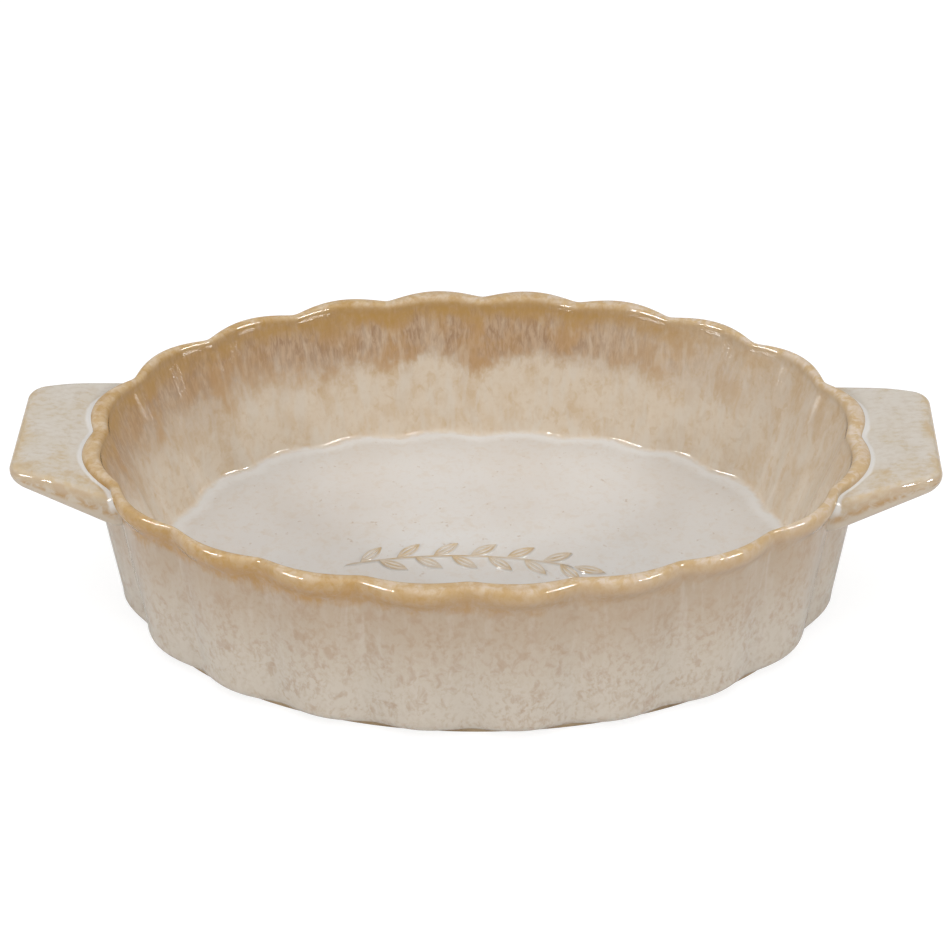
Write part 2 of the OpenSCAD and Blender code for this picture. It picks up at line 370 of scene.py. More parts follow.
under_ovals = [foot_outer.at(FOOT_HEIGHT)]
turn_ovals = [foot_outer.towards(base_oval, math.sin(t)).at(TURN_TOP - BOTTOM_TURN * math.cos(t))
              for t in spread(0, math.pi / 2, TURN_STEPS)]
low_ovals = [outer_wall(z) for z in spread(TURN_TOP, FLOOR_TOP, LOW_STEPS)]
wall_ovals = [outer_wall(z) for z in spread(FLOOR_TOP, LIP_BASE - LIP_SWEEP, WALL_STEPS)]
sweep_ovals = [sweep_foot.towards(lip_outer, (1 - math.cos(math.pi * s)) / 2)
               .at(LIP_BASE - LIP_SWEEP * (1 - s)) for s in spread(0, 1, SWEEP_STEPS)]
lip_ovals = over_lip(LIP_STEPS)
inside_ovals = [inner_wall(z) for z in spread(LIP_BASE, FLOOR_TOP + FLOOR_CORNER, INSIDE_STEPS)]
corner_ovals = [inner_wall(FLOOR_TOP + FLOOR_CORNER * (1 - math.sin(t)))
                .inset(FLOOR_CORNER * (1 - math.cos(t)))
                for t in spread(0, math.pi / 2, CORNER_STEPS)]
skin_ovals = (under_ovals + turn_ovals + low_ovals + wall_ovals + sweep_ovals + lip_ovals
              + inside_ovals + corner_ovals)
SEAT_ROW = len(under_ovals + turn_ovals + low_ovals) - 1
LIP_ROW = SEAT_ROW + len(wall_ovals + sweep_ovals)
TOP_ROW = LIP_ROW + len(lip_ovals) // 2
INSIDE_ROW = LIP_ROW + len(lip_ovals)
LAST_ROW = len(skin_ovals) - 1


def slip_of_the_hand(row):
    """Draws a row in a little here and there, as a wall pressed by hand is never quite even."""
    out = row.copy()
    for point in out:
        slip = HAND_SLIP * (noise.noise(Vector(point) / HAND_WAVE) - 1) / 2
        point[:2] *= 1 + slip / np.linalg.norm(point[:2])
    return out


skin = np.array([oval.points() for oval in skin_ovals])
for index in range(len(under_ovals + turn_ovals), len(skin)):
    skin[index] = slip_of_the_hand(skin[index])
# The way over the lip from its top line, negative outside and positive inside
skin_steps = np.linalg.norm(np.diff(skin, axis=0), axis=2).mean(axis=1)
skin_run = np.concatenate([[0], np.cumsum(skin_steps)])
skin_run -= skin_run[TOP_ROW]
skin_along = np.roll(skin, -1, axis=1) - np.roll(skin, 1, axis=1)
skin_across = np.gradient(skin, skin_run, axis=0)
skin_normal = np.cross(skin_along, skin_across)
skin_normal /= np.linalg.norm(skin_normal, axis=2)[:, :, None]
skin_normal[LAST_ROW] = [0, 0, 1]
swell = column_swell()


def shade_as_skin(piece, skin_rows, row, column):
    """Shades the faces that lie in the skin by its own normals, and hidden faces flat."""
    mesh = piece.data
    only(piece)
    bpy.ops.object.shade_smooth()
    corners = np.empty(len(mesh.loops), dtype=int)
    mesh.loops.foreach_get("vertex_index", corners)
    starts = np.empty(len(mesh.polygons), dtype=int)
    mesh.polygons.foreach_get("loop_start", starts)
    totals = np.empty(len(mesh.polygons), dtype=int)
    mesh.polygons.foreach_get("loop_total", totals)
    faces = np.empty(len(mesh.polygons) * 3)
    mesh.polygons.foreach_get("normal", faces)
    place = np.asarray(skin_rows)[row[corners]]
    reach = np.maximum.reduceat(place, starts) - np.minimum.reduceat(place, starts)
    in_skin = (reach == 1) & (np.minimum.reduceat(place, starts) >= 0)
    own = np.repeat(faces.reshape(-1, 3), totals, axis=0)
    use = np.repeat(in_skin, totals)
    own[use] = skin_normal[place[use], column[corners][use]]
    mesh.normals_split_custom_set(own.tolist())


def keep_glaze_numbers(piece, row_runs, row, column):
    """Keeps the way over the lip and the fullness of the flute, for the glaze to read."""
    keep_numbers(piece, "run", np.array(row_runs)[row])
    keep_numbers(piece, "swell", swell[column])


# The floor is a slab, pressed with its rounded turn into the fluted outside. Its top is
# glazed pale and smooth, with fine specks, and its underside is bare inside the foot ring.
FLOOR_SHARES = (
    0.99, 0.98, 0.965, 0.945, 0.92, 0.88, 0.82, 0.74, 0.64, 0.5, 0.35, 0.2, 0.08, 0.001)
UNDER_SHARES = (0.001, 0.4, 0.8)
MEAN_RADIUS = (FLOOR_LENGTH + FLOOR_WIDTH) / 4
OUT_OF_SKIN = -5
floor_rows = [skin[0] * [share, share, 1] for share in UNDER_SHARES]
floor_rows += [skin[k] for k in range(SEAT_ROW + 1)] + [skin[LAST_ROW]]
floor_rows += [skin[LAST_ROW] * [share, share, 1] for share in FLOOR_SHARES]
floor_skin_rows = ([OUT_OF_SKIN] * len(UNDER_SHARES) + list(range(SEAT_ROW + 1))
                   + [LAST_ROW] + [OUT_OF_SKIN] * len(FLOOR_SHARES))
floor_run = ([skin_run[0]] * len(UNDER_SHARES) + list(skin_run[:SEAT_ROW + 1])
             + [skin_run[LAST_ROW]]
             + [skin_run[LAST_ROW] + MEAN_RADIUS * (1 - share) for share in FLOOR_SHARES])
floor_rings = len(floor_rows) - 1
floor, row, column = press(add_globe("glazed_floor", floor_rings), floor_rings, 0, floor_rows)
shade_as_skin(floor, floor_skin_rows, row, column)
keep_glaze_numbers(floor, floor_run, row, column)

LIP_GOLD, LIP_BLUSH, LIP_OCHRE = srgb(191, 165, 126), srgb(206, 191, 174), srgb(172, 136, 78)
AMBER, UNDER_AMBER = srgb(172, 136, 80), srgb(166, 126, 70)
FUR_DARK, FUR_PALE, FUR_ORANGE = srgb(156, 127, 100), srgb(182, 156, 129), srgb(178, 141, 96)
CREAM, OCHRE_CREAM, ASH = srgb(207, 193, 174), srgb(190, 164, 130), srgb(206, 199, 188)
GREY_BEIGE, PINK_BEIGE = srgb(192, 182, 168), srgb(172, 153, 131)
BROWN_SPECK, WISP = srgb(160, 131, 104), srgb(202, 195, 186)
FLOOR_PALE, FLOOR_WARM, POOLED = srgb(206, 203, 199), srgb(201, 195, 188), srgb(219, 218, 216)
SPECK = srgb(176, 154, 132)
STREAK_SIZE, FINE_SIZE, SPECK_SIZE, MOTTLE_SIZE = 0.0007, 0.0011, 0.0016, 0.0024
PATCH_SIZE, BLOT_SIZE, DRIFT_SIZE = 0.005, 0.006, 0.02
AMBER_REACH, AMBER_FADE, FUR_REACH, FUR_FADE = 0.0155, 0.005, 0.027, 0.01
LIP_FLANK, LIP_EDGE, LIP_TOP = 0.0042, 0.0058, 0.0015
GLAZE_SWING, GLAZE_RIPPLE, GLAZE_DEPTH = 0.012, 0.004, 0.0003
POOL_WIDTH = 0.006
FLOOR_RUN = float(skin_run[LAST_ROW])


def glaze_gloss(finish, colour):
    """The glass of the glaze: glossy, with shallow ripples that break up its highlights."""
    swing = finish.cloud(GLAZE_SWING, detail=0.0, shift=11.0)
    ripple = finish.cloud(GLAZE_RIPPLE, detail=0.0, shift=7.0)
    finish.wear(colour, 0.03 + 0.03 * ripple, swing + ripple * 0.14, GLAZE_DEPTH)


def body_glaze(finish):
    """The glaze over the body, by the way out (-) or in (+) from the lip's top line.

    It is thin and amber at the lip, breaks into pink brown fur under it, and lies thick and
    pale on the floor and low on the wall. Towards the right end it is lighter, with less fur and
    amber.
    A cloud runs from 0 to 1 about its middle of 0.5, and its rises are shares of that.
    """
    run = finish.number("run")
    full = finish.number("swell")
    along = finish.node("ShaderNodeSeparateXYZ", {}, {0: finish.place})
    right = along.rise(0.02, 0.12)
    left = along.rise(-0.03, -0.12)
    lean = along.rise(-0.08, 0.08)
    down = run.size()
    inside = run.rise(-0.0005, 0.0005)
    streak = finish.cloud(STREAK_SIZE, (1, 1, 0.15), 4.0, 0.6, curl=0.6)
    wisp = finish.cloud(MOTTLE_SIZE, (1, 1, 0.15), 3.0, 0.55, 31.0, 0.5)
    fine = finish.cloud(FINE_SIZE, (1, 1, 0.8), 3.0, 0.6, 9.0)
    mottle = finish.cloud(MOTTLE_SIZE, (1, 1, 0.75), 3.0, 0.6, 21.0, 0.5)
    blot = finish.cloud(BLOT_SIZE, (1, 1, 0.7), 4.0, 0.6, 15.0)
    drift = finish.cloud(DRIFT_SIZE, (1, 1, 0.6), 2.0, 0.5, 5.0)
    # The outside, with faint brown specks and pale wisps that run down in the notches
    outer = finish.mix(down.rise(0.058, 0.012), GREY_BEIGE, PINK_BEIGE)
    flecks = fine.rise(0.42, 0.68) * (0.16 + 0.3 * blot.rise(0.4, 0.65))
    outer = finish.mix(flecks, outer, BROWN_SPECK)
    outer = finish.mix(mottle.rise(0.5, 0.7) * 0.42, outer, BROWN_SPECK)
    outer = finish.mix(wisp.rise(0.46, 0.72) * (0.24 - 0.14 * full), outer, WISP)
    # The inside, cream with ochre blotches, brown flecks and ash grey wisps
    inner = finish.mix(blot.rise(0.44, 0.66) * 0.45, CREAM, OCHRE_CREAM)
    flecks = mottle.rise(0.5, 0.68) * 0.4 + fine.rise(0.46, 0.7) * 0.22
    inner = finish.mix(flecks, inner, OCHRE_CREAM)
    inner = finish.mix(wisp.rise(0.44, 0.66) * 0.4, inner, ASH)
    tone = finish.mix(inside, outer, inner)
    # Fur under the amber: sharp at its lower edge at the back, and drawn out at the left end
    wander = 0.014 * (drift - 0.5) + 0.01 * (streak - 0.5) + 0.022 * (blot - 0.5)
    fade = FUR_FADE + 0.024 * left + 0.012 * right
    zone = ((FUR_REACH + 0.5 * fade + wander - down) / fade).rise(0.0, 1.0)
    fur = finish.mix(streak.rise(0.36, 0.64), FUR_DARK, FUR_PALE)
    fur = finish.mix(blot.rise(0.4, 0.62) * (0.8 - 0.4 * full), fur, FUR_ORANGE)
    fur = finish.mix(wisp.rise(0.48, 0.68) * (0.34 - 0.16 * left), fur, CREAM)
    tone = finish.mix(zone * (0.96 - 0.76 * right) * inside, tone, fur)
    # Amber on both sides of the lip, patchy, and drawn down in streaks
    sag = 0.006 * (drift - 0.5) + 0.014 * (blot - 0.5) + 0.005 * (streak - 0.5)
    reach = AMBER_REACH - 0.002 * inside + 0.0015 * left + sag
    amber = ((reach - down) / (AMBER_FADE + 0.003 * inside)).rise(0.0, 1.0)
    amber = amber * (0.62 + 0.22 * mottle.rise(0.35, 0.6) + 0.22 * fine.rise(0.35, 0.6))
    thin_outside = 1.0 - 0.65 * lean
    thin_inside = 0.9 - 0.2 * left - 0.66 * right
    amber = amber * (thin_outside + inside * (thin_inside - thin_outside))
    tone = finish.mix(amber, tone, finish.mix(inside, UNDER_AMBER, AMBER))
    # The lip is ochre gold at its edges, and its top has blushes of whitish glaze
    patch = finish.cloud(PATCH_SIZE, detail=3.0, rough=0.6, shift=41.0, curl=0.4)
    flank = down.rise(0.001, LIP_FLANK)
    blush = mottle.rise(0.4, 0.6) * (0.5 + 0.45 * lean) * (1 - 0.6 * flank)
    gold = finish.mix(blush, LIP_GOLD, LIP_BLUSH)
    ochre = patch.rise(0.42, 0.58) * 0.5 + flank * 0.35 + fine.rise(0.45, 0.65) * 0.3
    gold = finish.mix(ochre * (1 - 0.55 * lean), gold, LIP_OCHRE)
    crown = down.rise(LIP_EDGE + 0.0025 * (1 - inside), LIP_TOP)
    tone = finish.mix(crown * 0.9, tone, gold)
    # The glaze pools pale in the corner, and lies pale on the floor with fine specks
    ground = finish.mix(drift.rise(0.35, 0.65) * 0.6, FLOOR_PALE, FLOOR_WARM)
    ground = finish.mix(mottle.rise(0.5, 0.7) * 0.16, ground, OCHRE_CREAM)
    ground = finish.mix(fine.rise(0.5, 0.7) * 0.12, ground, OCHRE_CREAM)
    speck = finish.cloud(SPECK_SIZE, (1, 1, 1), 2.0, 0.5, 2.0).rise(0.69, 0.76)
    ground = finish.mix(speck * 0.5, ground, SPECK)
    edge = run - FLOOR_RUN + 0.004 * (blot - 0.5) + 0.003 * (mottle - 0.5)
    ground = finish.mix(edge.rise(POOL_WIDTH, 0.001) * 0.7, ground, POOLED)
    return finish.mix(edge.rise(-0.002, 0.0008), tone, ground)


floor_glaze = Finish("floor_glaze")
glaze_gloss(floor_glaze, body_glaze(floor_glaze))
dress(floor, floor_glaze)
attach(floor, "root")
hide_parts("dish_floor")

# The wall is pressed with twenty flutes that swell out between soft notches. The glaze runs
# down it in fine streaks, and mottles it pink beige outside and ochre inside.
wall_skin_rows = list(range(SEAT_ROW, LIP_ROW + 1)) + list(range(INSIDE_ROW, LAST_ROW + 1))
wall, row, column = press_ring("fluted_glazed_wall", [skin[k] for k in wall_skin_rows])
shade_as_skin(wall, wall_skin_rows, row, column)
keep_glaze_numbers(wall, skin_run[wall_skin_rows], row, column)
wall_glaze = Finish("wall_glaze")
glaze_gloss(wall_glaze, body_glaze(wall_glaze))
dress(wall, wall_glaze)
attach(wall, "root")
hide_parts("fluted_wall")

# The lip is the rounded top of the wall, smoothed with a wet thumb. It follows the flutes,
# and the glaze draws away from it, so that the amber of the body shows along it.
lip_skin_rows = list(range(LIP_ROW, INSIDE_ROW + 1))
lip, row, column = press_ring("rounded_lip", [skin[k] for k in lip_skin_rows])
shade_as_skin(lip, lip_skin_rows, row, column)
keep_glaze_numbers(lip, skin_run[lip_skin_rows], row, column)
lip_glaze = Finish("lip_glaze")
glaze_gloss(lip_glaze, body_glaze(lip_glaze))
dress(lip, lip_glaze)
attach(lip, "root")
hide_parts("rim_lip")

# The handles are flat tabs of clay, cut, rounded at their corners, and luted to the wall
# just under the lip, tilted up a little. Glaze pools white in the joint, and breaks ochre
# along their edges.
TAB_STEPS = 64
TAB_EDGE_STEPS = 9
TAB_ROOT_STEPS = 14
TAB_ROOT_CROWDING = 1.5
TAB_FLUTES = 3
FIT_ROUNDS = 6
TAB_CREASE = math.radians(50)
OVERALL_LENGTH = 0.3282
TAB_ROOT_WIDTH, TAB_TIP_WIDTH = 0.0757, 0.06
TAB_ROOT_THICKNESS, TAB_TIP_THICKNESS = 0.0081, 0.0054
TAB_CORNER, TAB_ROUND, TAB_FLAT = 0.008, 0.0026, 0.0058
TAB_DROP, TAB_RISE, TAB_EASE = 0.0037, 0.0049, 0.0006
POOL_REACH, POOL_RISE, POOL_MARGIN_SHARE = 0.0022, 0.0007, 1.6
TAB_PALE, TAB_WARM, TAB_BROWN = srgb(196, 189, 179), srgb(189, 179, 163), srgb(170, 148, 122)
TAB_OCHRE, SIDE_OCHRE, SIDE_PALE = srgb(184, 158, 116), srgb(168, 136, 94), srgb(184, 170, 152)
TAB_POOL = srgb(210, 207, 203)
FINE_TAB_SIZE, MOTTLE_TAB_SIZE = 0.0012, 0.0026

root_x, tip_x = RIM_LENGTH / 2, OVERALL_LENGTH / 2
tab_run = tip_x - root_x
inner_pad_x = root_x - LIP_THICKNESS - TAB_CORNER
outer_pad_x = tip_x - TAB_CORNER


def along_tab(at_root, at_tip, x):
    """A size of the tab at x, changing evenly from its root to its tip."""
    return at_root + (at_tip - at_root) * (x - root_x) / tab_run


inner_pad_y = along_tab(TAB_ROOT_WIDTH, TAB_TIP_WIDTH, inner_pad_x + TAB_CORNER) / 2 - TAB_CORNER
outer_pad_y = TAB_TIP_WIDTH / 2 - TAB_CORNER
pad_top = [DISH_HEIGHT - TAB_DROP + TAB_RISE * (x - root_x) / tab_run
           for x in (inner_pad_x, outer_pad_x)]
pad_under = [top - along_tab(TAB_ROOT_THICKNESS, TAB_TIP_THICKNESS, x)
             for top, x in zip(pad_top, (inner_pad_x, outer_pad_x))]
taper = math.atan2(inner_pad_y - outer_pad_y, outer_pad_x - inner_pad_x)


def tab_top(x):
    """The tab's upper face: a slope from the root that eases level at the tip."""
    slope = (pad_top[1] - pad_top[0]) / (outer_pad_x - inner_pad_x)
    line = pad_top[0] + slope * (x - inner_pad_x + TAB_FLAT)
    return -TAB_EASE * np.logaddexp(-line / TAB_EASE, -pad_top[1] / TAB_EASE)


def tab_under(x):
    """The tab's lower face, a plain slope."""
    slope = (pad_under[1] - pad_under[0]) / (outer_pad_x - inner_pad_x)
    return pad_under[0] + slope * (x - inner_pad_x - TAB_FLAT)


def skin_reach(side, y, z):
    """How far out along X the dish's skin lies, at one end, at each y and z."""
    middle = 0 if side > 0 else COLUMNS // 2
    reach = TAB_FLUTES * FLUTE_COLUMNS
    span = np.arange(middle - reach, middle + reach + 1) % COLUMNS
    rows = skin[SEAT_ROW:TOP_ROW + 1][:, span]
    rows = rows[:, np.argsort(rows[0, :, 1])]
    found = np.empty(len(y))
    for index, (place, height) in enumerate(zip(y, z)):
        x = [np.interp(place, line[:, 1], line[:, 0] * side) for line in rows]
        up = [np.interp(place, line[:, 1], line[:, 2]) for line in rows]
        found[index] = np.interp(height, up, x)
    return found


def edge_distances():
    """Distances from the tab's edge at which its grid has lines, round the edge's bevel."""
    turns = np.linspace(0, math.pi / 2, TAB_EDGE_STEPS + 1)
    return TAB_ROUND * (1 - np.cos(turns))


def tab_plan(side):
    """Where each crossing of the tab's grid lies seen from above, and how far from the edge."""
    half = TAB_STEPS // 2
    plan = np.zeros((TAB_STEPS + 1, TAB_STEPS + 1, 2))
    distance = np.full((TAB_STEPS + 1, TAB_STEPS + 1), TAB_ROUND)
    centre = np.array([outer_pad_x, outer_pad_y])
    out = np.array([math.sin(taper), math.cos(taper)])
    back = np.array([-math.cos(taper), math.sin(taper)])
    half_arc = (math.pi / 2 - taper) / 2
    near_root = np.linspace(0, 1, TAB_ROOT_STEPS + 1)[1:] ** TAB_ROOT_CROWDING
    near_root = near_root * POOL_REACH * POOL_MARGIN_SHARE
    for ring, inward in enumerate(edge_distances()):
        radius = TAB_CORNER - inward
        corner = centre + out * radius
        # Follow the side line back to the dish's skin
        back_run = (corner[0] - root_x) / math.cos(taper)
        for _ in range(FIT_ROUNDS):
            foot_point = corner + back * back_run
            reach = skin_reach(side, foot_point[1:2], [tab_top(foot_point[0])])[0]
            back_run += (foot_point[0] - reach) / math.cos(taper)
        side_length = back_run + half_arc * radius
        side_count = TAB_STEPS - ring - TAB_ROOT_STEPS
        steps = np.concatenate([[0], near_root, np.linspace(
            near_root[-1], side_length, side_count + 1)[1:]])
        for index, gone in enumerate(steps):
            if gone <= back_run:
                point = corner + back * (back_run - gone)
            else:
                turn = (gone - back_run) / radius + taper
                point = centre + radius * np.array([math.sin(turn), math.cos(turn)])
            plan[index, ring] = point
            distance[index, ring] = inward
        across = np.linspace(0, 1, TAB_STEPS - 2 * ring + 1)
        tip_length = 2 * (half_arc * radius + outer_pad_y)
        for index, share in enumerate(across):
            gone = share * tip_length
            mirrored = gone > tip_length / 2
            gone = tip_length - gone if mirrored else gone
            if gone < half_arc * radius:
                turn = taper + half_arc + gone / radius
                point = centre + radius * np.array([math.sin(turn), math.cos(turn)])
            else:
                point = np.array([outer_pad_x + radius,
                                  outer_pad_y - (gone - half_arc * radius)])
            if mirrored:
                point = point * [1, -1]
            plan[TAB_STEPS - ring, ring + index] = point
            distance[TAB_STEPS - ring, ring + index] = inward
    edge = TAB_EDGE_STEPS
    last = TAB_STEPS - edge
    plan[:, TAB_STEPS:half:-1] = np.where(
        (plan[:, TAB_STEPS:half:-1] != 0).any(axis=2, keepdims=True),
        plan[:, TAB_STEPS:half:-1], plan[:, :half] * [1, -1])
    distance[:, TAB_STEPS:half:-1] = distance[:, :half]
    # The root line between the two bevels, on the skin
    y = np.linspace(plan[0, edge, 1], -plan[0, edge, 1], TAB_STEPS - 2 * edge + 1)
    x = np.full(len(y), root_x)
    for _ in range(FIT_ROUNDS):
        x = skin_reach(side, y, tab_top(x))
    plan[0, edge:TAB_STEPS - edge + 1] = np.column_stack([x, y])
    # A Coons patch fills the flat middle
    inner = plan[:last + 1, edge:TAB_STEPS - edge + 1]
    rows, columns = inner.shape[:2]
    v = np.array([np.linalg.norm(inner[k, 0] - inner[0, 0]) for k in range(rows)])
    v = (v / v[-1])[:, None, None]
    u = np.linspace(0, 1, columns)[None, :, None]
    ruled_v = (1 - v) * inner[:1] + v * inner[-1:]
    ruled_u = (1 - u) * inner[:, :1] + u * inner[:, -1:]
    corners = ((1 - u) * (1 - v) * inner[0, 0] + u * (1 - v) * inner[0, -1]
               + (1 - u) * v * inner[-1, 0] + u * v * inner[-1, -1])
    inner[1:-1, 1:-1] = (ruled_v + ruled_u - corners)[1:-1, 1:-1]
    return plan, distance


def press_tab(name, side):
    """A handle: a cube, subdivided to a grid, whose every vertex is pressed to its place."""
    bpy.ops.object.select_all(action="DESELECT")
    bpy.ops.mesh.primitive_cube_add(size=2)
    tab = bpy.context.object
    tab.name = name
    bpy.ops.object.mode_set(mode="EDIT")
    bpy.ops.mesh.select_all(action="SELECT")
    bpy.ops.mesh.subdivide(number_cuts=TAB_STEPS - 1)
    bpy.ops.object.mode_set(mode="OBJECT")
    flat = np.empty(len(tab.data.vertices) * 3)
    tab.data.vertices.foreach_get("co", flat)
    own = flat.reshape(-1, 3)
    k = np.rint((own[:, 0] + 1) / 2 * TAB_STEPS).astype(int)
    j = np.rint((1 - own[:, 1]) / 2 * TAB_STEPS).astype(int)
    up = (own[:, 2] + 1) / 2
    plan, distance = tab_plan(side)
    x, y = plan[k, j, 0].copy(), plan[k, j, 1].copy()
    inward = distance[k, j]
    round_off = TAB_ROUND - np.sqrt(np.maximum(TAB_ROUND ** 2 - (TAB_ROUND - inward) ** 2, 0))
    # The pooled glaze lifts the tab's top where it meets the dish
    start = plan[0, j, 0]
    gap = np.clip(1 - (x - start) / POOL_REACH, 0, None)
    pool = np.minimum(gap, 1) ** 2
    top = tab_top(x) - round_off + POOL_RISE * pool
    under = tab_under(x) + round_off
    z = under + (top - under) * up
    at_root = k == 0
    x[at_root] = skin_reach(side, y[at_root], z[at_root])
    fresh = np.column_stack([x * side, y * side, z])
    tab.data.vertices.foreach_set("co", fresh.ravel())
    keep_numbers(tab, "brink", inward)
    keep_numbers(tab, "root_way", x - start)
    keep_numbers(tab, "up", up)
    tab.data.update()
    only(tab)
    bpy.ops.object.shade_smooth_by_angle(angle=TAB_CREASE)
    return tab


handle_glaze = Finish("handle_glaze")
way = handle_glaze.number("root_way")
brink = handle_glaze.number("brink")
upper = handle_glaze.number("up").rise(0.45, 0.95)
place = handle_glaze.place
toward_tip = handle_glaze.node("ShaderNodeSeparateXYZ", {}, {0: place}).size().rise(0.156, 0.163)
front = handle_glaze.node("ShaderNodeSeparateXYZ", {}, {0: place}, 1)
tab_fine = handle_glaze.cloud(FINE_TAB_SIZE, (0.6, 1, 1), 4.0, 0.65)
tab_mottle = handle_glaze.cloud(MOTTLE_TAB_SIZE, (1, 0.6, 1), 3.0, 0.6, 8.0, 0.5)
tab_blot = handle_glaze.cloud(BLOT_SIZE, (1, 0.7, 1), 3.0, 0.6, 4.0)
handle_tone = handle_glaze.mix(tab_blot.rise(0.35, 0.65) * 0.5, TAB_PALE, TAB_WARM)
handle_tone = handle_glaze.mix(tab_fine.rise(0.42, 0.68) * 0.28, handle_tone, TAB_BROWN)
handle_tone = handle_glaze.mix(tab_mottle.rise(0.54, 0.7) * 0.2, handle_tone, TAB_BROWN)
# Ochre patches along the tip and the front edge, broken up by the pale glaze
edge_width = 0.0014 + 0.003 * toward_tip + 0.0026 * front.rise(-0.01, -0.03)
edge_width = edge_width + 0.008 * (tab_blot - 0.5) + 0.005 * (tab_fine - 0.5)
edge_ochre = ((edge_width - brink) / 0.005 + 0.3).rise(0.0, 1.0)
edge_ochre = edge_ochre * (0.3 + 0.4 * tab_mottle.rise(0.36, 0.62))
handle_tone = handle_glaze.mix(edge_ochre * upper, handle_tone, TAB_OCHRE)
# The side faces are ochre brown under the edge, and run out greyish white below
side_tone = handle_glaze.mix(tab_mottle.rise(0.4, 0.65), SIDE_OCHRE, SIDE_PALE)
side_tone = handle_glaze.mix(handle_glaze.number("up").rise(0.45, 0.05), side_tone, SIDE_PALE)
on_side = brink.rise(0.0012, 0.0002) * (1 - 0.5 * upper)
handle_tone = handle_glaze.mix(on_side, handle_tone, side_tone)
pool_width = 0.0022 + 0.003 * (tab_blot - 0.5) + 0.0016 * (tab_fine - 0.5)
white_pool = ((pool_width - way) / 0.0012).rise(0.0, 1.0) * upper
handle_tone = handle_glaze.mix(white_pool * 0.85, handle_tone, TAB_POOL)
glaze_gloss(handle_glaze, handle_tone)
for name, node, side in (("handle_tab_left", "left_handle", -1),
                         ("handle_tab_right", "right_handle", 1)):
    tab = press_tab(name, side)
    dress(tab, handle_glaze)
    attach(tab, "root")
    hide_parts(node)

# The relief on the floor is a sprig of leaves on a bent stem, rolled out thin, pressed on
# to the wet slab and smoothed over, so that its edges are soft under the glaze.
SPRIG_LENGTH, SPRIG_RELIEF, SPRIG_OFFSET = 0.1, 0.001, 0.002
LEAF_LENGTH, LEAF_WIDTH, STEM_WIDTH = 0.013, 0.0054, 0.0016
LEAF_COUNT, LEAF_TURN, BEND_SHARE = 12, math.radians(38), 1.4
LEAF_RIM, LEAF_HOLLOW_SHARE = 0.0008, 0.5
BEAD_SEGMENTS, BEAD_RINGS = 64, 32
STEM_END_POWER, STEM_END_STEEPNESS = 6, 8
SPRIG_CREASE = math.radians(60)
bend_radius = SPRIG_LENGTH * BEND_SHARE
stem_sweep = (SPRIG_LENGTH - LEAF_LENGTH) / bend_radius
stem_start = math.pi / 2 + stem_sweep / 2
bend_centre = np.array([-LEAF_LENGTH / 2, -SPRIG_OFFSET - bend_radius])


def stem_point(share):
    """A point on the middle of the stem, at a share of its length, and the turn there."""
    turn = stem_start - stem_sweep * share
    return bend_centre + bend_radius * np.array([np.cos(turn), np.sin(turn)]).T, turn


def add_bead():
    """A globe to flatten: its upper half becomes a relief, its lower half the flat back."""
    bpy.ops.object.select_all(action="DESELECT")
    bpy.ops.mesh.primitive_uv_sphere_add(segments=BEAD_SEGMENTS, ring_count=BEAD_RINGS, radius=1)
    bead = bpy.context.object
    flat = np.empty(len(bead.data.vertices) * 3)
    bead.data.vertices.foreach_get("co", flat)
    own = flat.reshape(-1, 3)
    along = np.clip(own[:, 0], -1, 1)
    across = np.clip(own[:, 1] / np.sqrt(np.maximum(1 - along ** 2, 1e-9)), -1, 1)
    return bead, along, across, own[:, 2] > 1e-6


def ease(v):
    """A soft step from 0 to 1."""
    v = np.clip(v, 0, 1)
    return v * v * (3 - 2 * v)


def press_leaf(root, heading, length, width):
    """A leaf with a soft raised rim and vein, and a lower middle that the glaze fills."""
    leaf, along, across, raised = add_bead()
    bow = width / 2 * (1 - along ** 2)
    x, y = (along + 1) / 2 * length, across * bow
    inward = (1 - np.abs(across)) * bow
    rim = ease(inward / LEAF_RIM)
    hollow = ease((inward - LEAF_RIM) / LEAF_RIM) * (1 - np.exp(-(y / (LEAF_RIM / 2)) ** 2))
    z = np.where(raised, SPRIG_RELIEF * rim * (1 - LEAF_HOLLOW_SHARE * hollow), 0)
    c, s = math.cos(heading), math.sin(heading)
    place = np.column_stack([root[0] + c * x - s * y, root[1] + s * x + c * y, FLOOR_TOP + z])
    leaf.data.vertices.foreach_set("co", place.ravel())
    return leaf


def press_stem():
    """The stem, a soft ridge along a shallow arc with round ends."""
    stem, along, across, raised = add_bead()
    middle, turn = stem_point((along + 1) / 2)
    aside = across * STEM_WIDTH / 2 * (1 - along ** STEM_END_POWER)
    place = middle + aside[:, None] * np.column_stack([np.cos(turn), np.sin(turn)])
    ends = ease((1 - along ** 2) * STEM_END_STEEPNESS)
    z = np.where(raised, SPRIG_RELIEF * ease(1 - np.abs(across)) * ends, 0)
    stem.data.vertices.foreach_set("co", np.column_stack([place, FLOOR_TOP + z]).ravel())
    return stem


parts = []
for number in range(1, LEAF_COUNT + 1):
    point, turn = stem_point(number / (LEAF_COUNT + 1))
    lean = LEAF_TURN * (number % 2 * 2 - 1)
    parts.append(press_leaf(point, turn + lean - math.pi / 2, LEAF_LENGTH, LEAF_WIDTH))
point, turn = stem_point(1)
end_root = point - STEM_WIDTH * np.array([math.sin(turn), -math.cos(turn)])
parts.append(press_leaf(end_root, turn - math.pi / 2, LEAF_LENGTH, LEAF_WIDTH))
parts.append(press_stem())
bpy.ops.object.select_all(action="DESELECT")
for part in parts:
    part.data.update()
    part.select_set(True)
bpy.context.view_layer.objects.active = parts[-1]
bpy.ops.object.join()
sprig = bpy.context.object
sprig.name = "leaf_sprig_relief"
only(sprig)
bpy.ops.object.shade_smooth_by_angle(angle=SPRIG_CREASE)

